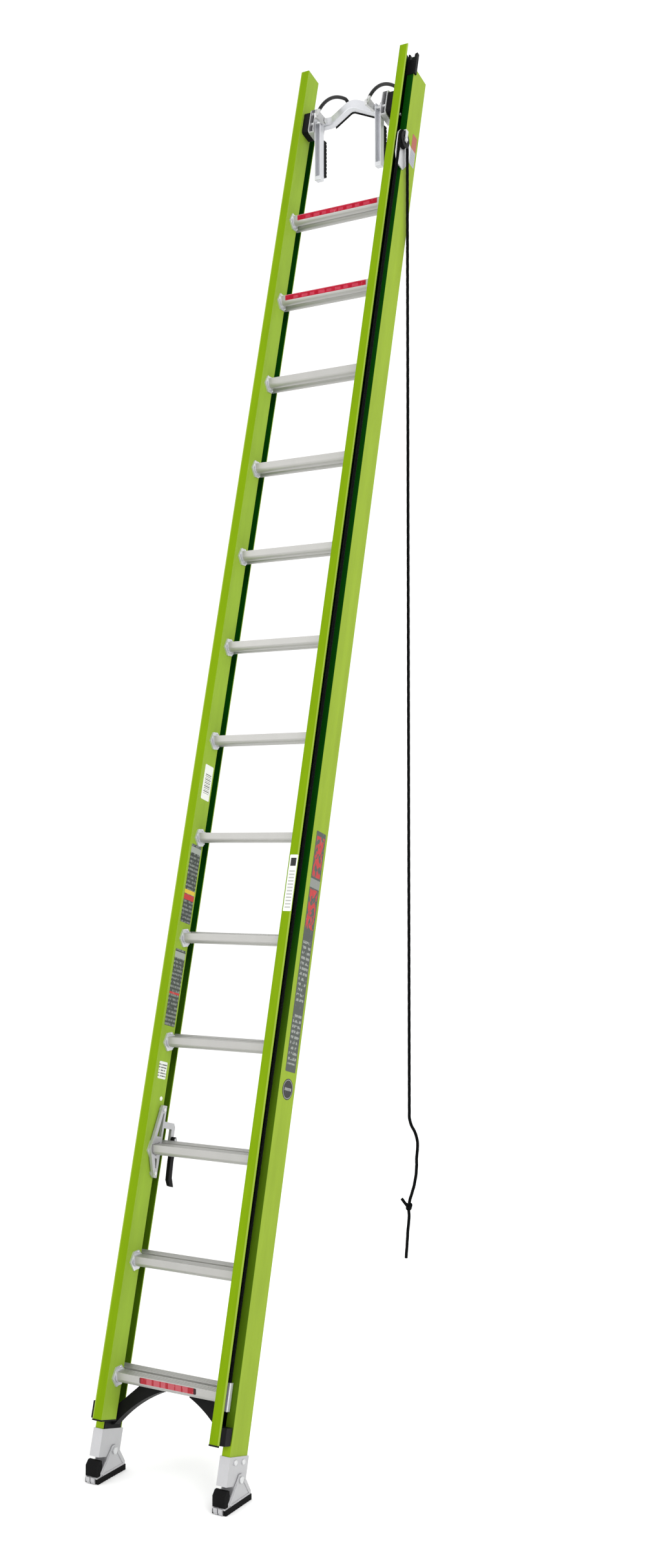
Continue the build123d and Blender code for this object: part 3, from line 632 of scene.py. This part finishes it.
def plate_on_web(x, y0, y1, z0, z1, side, corner=0.004):
    """A thin label with rounded corners on a face of constant X."""
    centre = rail(x, (y0 + y1) / 2, (z0 + z1) / 2)
    outward = Vector((side, 0, 0))
    return label_shape(centre, RAIL_BACK, RAIL_UP, outward, (y1 - y0) / 2, (z1 - z0) / 2, corner)


def plate_on_front(x0, x1, y, z0, z1, corner=0.003):
    """A thin label on a face of constant Y, facing the climber."""
    centre = rail((x0 + x1) / 2, y, (z0 + z1) / 2)
    return label_shape(centre, Vector((1, 0, 0)), RAIL_UP, -RAIL_BACK,
                       (x1 - x0) / 2, (z1 - z0) / 2, corner)


def label_shape(centre, across, up, outward, half_width, half_height, corner):
    """A rounded rectangle, lifted off its face by the label's thickness."""
    shape = bmesh.new()
    rim = []
    for quarter in range(4):
        turn_x = 1 if quarter in (0, 3) else -1
        turn_y = 1 if quarter in (0, 1) else -1
        for step in range(5):
            angle = pi / 2 * (quarter + step / 4)
            u = turn_x * (half_width - corner) + corner * cos(angle)
            v = turn_y * (half_height - corner) + corner * sin(angle)
            rim.append(centre + u * across + v * up)
    low = [shape.verts.new(point + outward * 0.00005) for point in rim]
    high = [shape.verts.new(point + outward * STICKER) for point in rim]
    shape.faces.new(high)
    shape.faces.new(low)
    for index in range(len(rim)):
        ahead = (index + 1) % len(rim)
        shape.faces.new((low[index], low[ahead], high[ahead], high[index]))
    return shape


def lines(nodes, value, low, pitch, widths):
    """Bars of the given widths, one per pitch, from low upwards."""
    return nodes.either(*[nodes.band(value, low + pitch * index, low + pitch * index + width)
                          for index, width in enumerate(widths)])


def scuffed(nodes, color):
    """A printed film, lightly scuffed."""
    scuffs = nodes.noise(160, stretch=(1, 1, 0.4), detail=6.0)
    marks = nodes.math("MULTIPLY", nodes.step(scuffs, 0.60, 0.72), 0.18)
    color = nodes.mix(marks, color, srgb(190, 190, 186))
    nodes.bump(scuffs, 0.1, 0.0002)
    return nodes.color(color)


def stick(name, shape, material, body):
    return new_piece(name, shape, material, body, smooth=False)


def rung_band_material():
    """A red warning band with pale blocks in place of its print."""
    nodes = Nodes("rung_band", roughness=0.45, specular=0.1)
    x, _, z = nodes.rail_coords()
    patches = nodes.noise(26, stretch=(1.6, 1, 3.2), detail=2.0)
    local = nodes.math("MODULO", nodes.math("SUBTRACT", z, FIRST_RUNG - PITCH / 2), PITCH)
    edge = nodes.either(nodes.band(local, PITCH / 2 - 0.013, PITCH / 2 - 0.0085),
                        nodes.band(local, PITCH / 2 + 0.0075, PITCH / 2 + 0.013))
    widths = (0.018, 0.022, 0.016, 0.024, 0.018, 0.02, 0.016, 0.022)
    blocks = nodes.both(lines(nodes, x, -0.118, 0.031, widths),
                        nodes.band(local, PITCH / 2 - 0.005, PITCH / 2 + 0.004))
    color = nodes.mix(nodes.step(patches, 0.4, 0.65), srgb(152, 8, 34), srgb(166, 20, 46))
    color = nodes.mix(nodes.math("MULTIPLY", edge, 0.25), color, srgb(222, 130, 150))
    color = nodes.mix(nodes.math("MULTIPLY", blocks, 0.28), color, srgb(200, 96, 116))
    return scuffed(nodes, color)


def add_rung_bands():
    material = rung_band_material()
    level_up = Vector((0, 0, 1))
    for number in (13, 12):
        centre = rail(0, RUNG_Y, FIRST_RUNG + PITCH * (number - 1))
        face = centre + Vector((0, -RUNG_HALF_WIDTH, 0.0058))
        shape = label_shape(face, Vector((1, 0, 0)), level_up, Vector((0, -1, 0)),
                            0.149, 0.0086, 0.0012)
        stick(f"rung_band_{number}", shape, material, "fly_section")


def first_rung_sticker_material():
    nodes = Nodes("first_rung_sticker", roughness=0.4, specular=0.3)
    x, _, _ = nodes.rail_coords()
    field = nodes.band(nodes.math("ABSOLUTE", x), -0.001, 0.086)
    blocks = lines(nodes, x, -0.066, 0.0235, (0.017, 0.019, 0.015, 0.020, 0.018, 0.016))
    color = nodes.mix(field, srgb(40, 12, 16), srgb(150, 18, 34))
    color = nodes.mix(nodes.math("MULTIPLY", blocks, 0.22), color, srgb(225, 150, 160))
    return scuffed(nodes, color)


def add_first_rung_sticker():
    centre = rail(0.0025, RUNG_Y, FIRST_RUNG) + Vector((0, -RUNG_HALF_WIDTH, 0.0055))
    shape = label_shape(centre, Vector((1, 0, 0)), Vector((0, 0, 1)), Vector((0, -1, 0)),
                        0.0915, 0.0080, 0.003)
    stick("first_rung_sticker", shape, first_rung_sticker_material(), "fly_section")


def dark_decal_material(name, color, accents):
    """A dark label with grey rows of blocks; accents are (low, high, colour) bands."""
    nodes = Nodes(name, roughness=0.38, specular=0.3)
    _, _, z = nodes.rail_coords()
    across = nodes.noise(90, stretch=(1, 2.4, 1), detail=1.0)
    rows = nodes.step(nodes.math("SINE", nodes.math("MULTIPLY", z, 520.0)), -0.1, 0.1)
    words = nodes.both(rows, nodes.step(across, 0.44, 0.47))
    result = nodes.mix(nodes.math("MULTIPLY", words, 0.35), color, srgb(178, 184, 178))
    for low, high, accent in accents:
        result = nodes.mix(nodes.band(z, low, high, 0.0006), result, accent)
    return scuffed(nodes, result)


def barcode_material():
    nodes = Nodes("barcode_label", roughness=0.4, specular=0.3)
    _, y, z = nodes.rail_coords()
    bars = lines(nodes, z, 1.800, 0.0052, (0.0012, 0.0026, 0.0012, 0.0018, 0.0028, 0.0012, 0.0022,
                                           0.0014, 0.0026, 0.0012, 0.0018, 0.0026))
    field = nodes.band(y, 0.026, 0.056)
    color = nodes.mix(nodes.both(bars, field), srgb(226, 228, 222), srgb(50, 52, 50))
    return scuffed(nodes, color)


def plain_label_material(name, paper, ink, low, pitch, count):
    """A pale label with evenly spaced rows of print-like bars."""
    nodes = Nodes(name, roughness=0.4, specular=0.3)
    _, _, z = nodes.rail_coords()
    rows = lines(nodes, z, low, pitch, (pitch * 0.45,) * count)
    gaps = nodes.step(nodes.noise(120, stretch=(1.4, 1.4, 0.4), detail=1.0), 0.42, 0.46)
    return scuffed(nodes, nodes.mix(nodes.both(rows, gaps), paper, ink))


def add_left_web_labels():
    inner = -FLY_WEB_INNER
    shape = plate_on_web(inner, 0.018, 0.062, 1.780, 1.888, 1)
    stick("label_barcode", shape, barcode_material(), "fly_section")
    red, yellow = srgb(176, 38, 34), srgb(206, 176, 40)
    material = dark_decal_material("decal_upper", srgb(44, 52, 46),
                                   [(1.470, 1.486, red), (1.488, 1.500, yellow),
                                    (1.612, 1.630, srgb(150, 156, 148))])
    stick("decal_upper", plate_on_web(inner, 0.010, 0.062, 1.402, 1.638, 1), material, "fly_section")
    material = dark_decal_material("decal_lower", srgb(50, 58, 50),
                                   [(1.296, 1.314, srgb(150, 156, 148)), (1.190, 1.196, red)])
    stick("decal_lower", plate_on_web(inner, 0.010, 0.062, 1.098, 1.322, 1), material, "fly_section")
    material = plain_label_material("label_small", srgb(222, 224, 218), srgb(96, 98, 96),
                                    0.952, 0.008, 5)
    stick("label_small", plate_on_web(inner, 0.016, 0.056, 0.946, 0.995, 1), material, "fly_section")


def front_label_material():
    nodes = Nodes("label_front", roughness=0.4, specular=0.3)
    x, _, z = nodes.rail_coords()
    square = nodes.both(nodes.band(x, 0.181, 0.199), nodes.band(z, 1.568, 1.592))
    rows = nodes.both(lines(nodes, z, 1.446, 0.0095, (0.0045,) * 12), nodes.band(x, 0.181, 0.199))
    color = nodes.mix(nodes.math("MULTIPLY", rows, 0.6), srgb(222, 224, 218), srgb(110, 112, 110))
    return scuffed(nodes, nodes.mix(square, color, srgb(24, 24, 26)))


def add_front_label():
    shape = plate_on_front(0.177, 0.203, 0, 1.437, 1.601, 0.002)
    stick("label_front", shape, front_label_material(), "fly_section")


def outer_decal_material():
    """A long dark label: a red block pattern above, grey rows of blocks below."""
    nodes = Nodes("decal_outer", roughness=0.38, specular=0.3)
    _, y, z = nodes.rail_coords()
    cells = nodes.noise(70, stretch=(1, 1.6, 0.8), detail=1.0)
    blocks = nodes.either(nodes.band(z, 1.405, 1.520, 0.001), nodes.band(z, 1.556, 1.676, 0.001))
    red = nodes.both(blocks, nodes.step(cells, 0.46, 0.49), nodes.band(y, 0.067, 0.112))
    rows = nodes.step(nodes.math("SINE", nodes.math("MULTIPLY", z, 420.0)), -0.1, 0.1)
    print_area = nodes.either(nodes.band(z, 1.020, 1.160, 0.001), nodes.band(z, 1.190, 1.372, 0.001))
    words = nodes.both(rows, nodes.step(cells, 0.45, 0.48), print_area, nodes.band(y, 0.067, 0.112))
    color = nodes.mix(nodes.math("MULTIPLY", words, 0.5), srgb(66, 72, 66), srgb(176, 180, 174))
    color = nodes.mix(red, color, srgb(172, 40, 40))
    pale = nodes.band(z, 1.524, 1.550, 0.001)
    color = nodes.mix(nodes.math("MULTIPLY", pale, 0.6), color, srgb(150, 154, 148))
    return scuffed(nodes, color)


def top_label_material():
    """A faded label: dull red above, grey with faint rows below."""
    nodes = Nodes("label_top", roughness=0.45, specular=0.15)
    _, y, z = nodes.rail_coords()
    rows = nodes.both(lines(nodes, z, 3.970, 0.009, (0.004,) * 5), nodes.band(y, 0.091, 0.113))
    grey = nodes.mix(nodes.math("MULTIPLY", rows, 0.3), srgb(158, 160, 166), srgb(110, 114, 120))
    color = nodes.mix(nodes.step(z, 4.020, 4.024), grey, srgb(160, 92, 78))
    return scuffed(nodes, color)


def badge_shape(centre, radius):
    """A thin disc on the outer web."""
    shape = bmesh.new()
    sides = 40
    low, mid, high = [], [], []
    for index in range(sides):
        angle = tau * index / sides
        edge = centre + radius * (cos(angle) * RAIL_BACK + sin(angle) * RAIL_UP)
        rim = centre + (radius - 0.0006) * (cos(angle) * RAIL_BACK + sin(angle) * RAIL_UP)
        low.append(shape.verts.new(edge + Vector((0.00005, 0, 0))))
        mid.append(shape.verts.new(edge + Vector((STICKER, 0, 0))))
        high.append(shape.verts.new(rim + Vector((STICKER * 1.6, 0, 0))))
    shape.faces.new(low)
    shape.faces.new(high)
    for index in range(sides):
        ahead = (index + 1) % sides
        shape.faces.new((low[index], low[ahead], mid[ahead], mid[index]))
        shape.faces.new((mid[index], mid[ahead], high[ahead], high[index]))
    return shape


def badge_material(centre_y, centre_z):
    """A black badge with a pale ring and a row of blocks."""
    nodes = Nodes("badge", roughness=0.3, specular=0.35)
    _, y, z = nodes.rail_coords()
    dy = nodes.math("SUBTRACT", y, centre_y)
    dz = nodes.math("SUBTRACT", z, centre_z)
    square = nodes.math("ADD", nodes.math("MULTIPLY", dy, dy), nodes.math("MULTIPLY", dz, dz))
    reach = nodes.math("SQRT", square)
    ring = nodes.band(reach, 0.0245, 0.0262)
    blocks = nodes.both(lines(nodes, dy, -0.017, 0.0075, (0.005, 0.005, 0.005, 0.005, 0.005)),
                        nodes.band(dz, -0.004, 0.004))
    color = nodes.mix(nodes.either(ring, blocks), srgb(14, 14, 15), srgb(150, 152, 150))
    return scuffed(nodes, color)


def add_outer_labels():
    outer = BASE_WEB_OUTER
    stick("decal_outer", plate_on_web(outer, 0.062, 0.117, 1.000, 1.690, 1), outer_decal_material(),
          "base_section")
    badge_y, badge_z = 0.088, 0.952
    stick("badge", badge_shape(rail(outer, badge_y, badge_z), 0.029),
          badge_material(badge_y, badge_z), "base_section")
    material = top_label_material()
    stick("label_top", plate_on_web(outer, 0.086, 0.118, 3.963, 4.078, 1), material, "base_section")


def dome_plug(centre, outward, radius):
    """A shallow domed plug."""
    shape = bmesh.new()
    sides, rings = 24, 5
    rows = []
    for ring in range(rings):
        angle = pi / 2 * ring / rings
        reach, lift = radius * cos(angle), 0.45 * radius * sin(angle)
        rows.append([shape.verts.new(centre + outward * (0.00005 + lift)
                                     + reach * (cos(tau * step / sides) * RAIL_BACK
                                                + sin(tau * step / sides) * RAIL_UP))
                     for step in range(sides)])
    crown = shape.verts.new(centre + outward * (0.00005 + 0.45 * radius))
    shape.faces.new(rows[0])
    for row, following in zip(rows, rows[1:]):
        for step in range(sides):
            ahead = (step + 1) % sides
            shape.faces.new((row[step], row[ahead], following[ahead], following[step]))
    for step in range(sides):
        shape.faces.new((rows[-1][step], rows[-1][(step + 1) % sides], crown))
    return shape


def plug_material():
    nodes = Nodes("white_plug", roughness=0.4, specular=0.4)
    marks = nodes.noise(240, detail=4.0)
    nodes.bump(marks, 0.15, 0.0002)
    return nodes.color(nodes.vary(srgb(226, 228, 224), 0.05, marks))


def add_plugs():
    material = plug_material()
    for name, side in (("left", -1), ("right", 1)):
        place = rail(side * FLY_WEB_INNER, 0.050, LOCK_RUNG_Z + 0.142)
        new_piece(f"web_plug_{name}", dome_plug(place, Vector((-side, 0, 0)), 0.0065),
                         material, "fly_section")


add_camera()
add_studio()
add_floor()
dress_cad_nodes()
add_hanging_rope()
add_haul_rope()
add_rung_bands()
add_first_rung_sticker()
add_left_web_labels()
add_front_label()
add_outer_labels()
add_plugs()
